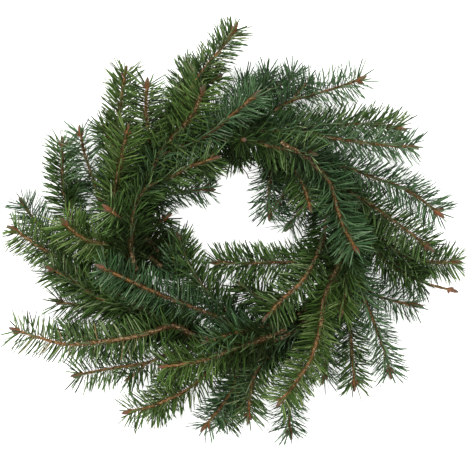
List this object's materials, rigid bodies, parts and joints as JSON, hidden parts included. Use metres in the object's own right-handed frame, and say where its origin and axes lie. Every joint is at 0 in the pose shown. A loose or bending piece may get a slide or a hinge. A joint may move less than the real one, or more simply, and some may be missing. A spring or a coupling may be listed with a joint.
{
  "type": "fir wreath",
  "caption": "Round wreath of preserved fir sprays with red-brown buds, bound clockwise by thin wire round a hoop of dark twigs, with an open centre. It lies on its back.",
  "frame": {"origin": "middle of the wreath in plan, on the surface that the back of the hoop lies on", "axes": "+Z out of the wreath's face, away from the surface that it lies on; +Y is the wreath's top and +X its right, as seen from the face"},
  "size_m": [0.4136, 0.3831, 0.0668],
  "materials": {
    "hoop": "rough",
    "wire": "satin",
    "needles_deep": "matte",
    "needles_blue": "matte",
    "needles_fresh": "matte",
    "bark": "matte",
    "buds": "satin"
  },
  "bodies": {
    "root": {"hoop": "hoop", "binding_wire": "wire", "spray_01": "needles_blue", "spray_02": "needles_deep", "spray_03": "needles_deep", "spray_04": "needles_blue", "spray_05": "needles_deep", "spray_06": "needles_blue", "spray_07": "needles_blue", "spray_08": "needles_deep", "spray_09": "needles_deep", "spray_10": "needles_blue", "spray_11": "needles_deep", "spray_12": "needles_blue", "spray_13": "needles_blue", "spray_14": "needles_blue", "spray_15": "needles_deep", "spray_16": "needles_deep", "spray_17": "needles_blue", "spray_18": "needles_deep", "spray_19": "needles_deep", "spray_20": "needles_blue", "spray_21": "needles_blue", "spray_22": "needles_deep", "spray_23": "needles_deep", "spray_24": "needles_blue", "spray_25": "needles_fresh", "spray_26": "needles_deep", "spray_27": "needles_blue", "spray_28": "needles_fresh", "spray_29": "needles_deep", "spray_30": "needles_deep", "spray_31": "needles_fresh", "spray_32": "needles_blue", "spray_33": "needles_fresh", "spray_34": "needles_deep", "spray_35": "needles_blue", "spray_36": "needles_blue", "spray_37": "needles_deep", "spray_38": "needles_deep", "spray_39": "needles_blue", "spray_40": "needles_deep", "spray_41": "needles_fresh", "spray_42": "needles_blue", "spray_43": "needles_fresh", "spray_44": "needles_deep", "spray_45": "needles_blue", "spray_46": "needles_fresh", "spray_47": "needles_deep", "spray_48": "needles_fresh", "spray_49": "needles_fresh", "spray_50": "needles_deep", "spray_51": "needles_fresh", "spray_52": "needles_blue", "spray_53": "needles_deep"}
  },
  "joints": []
}
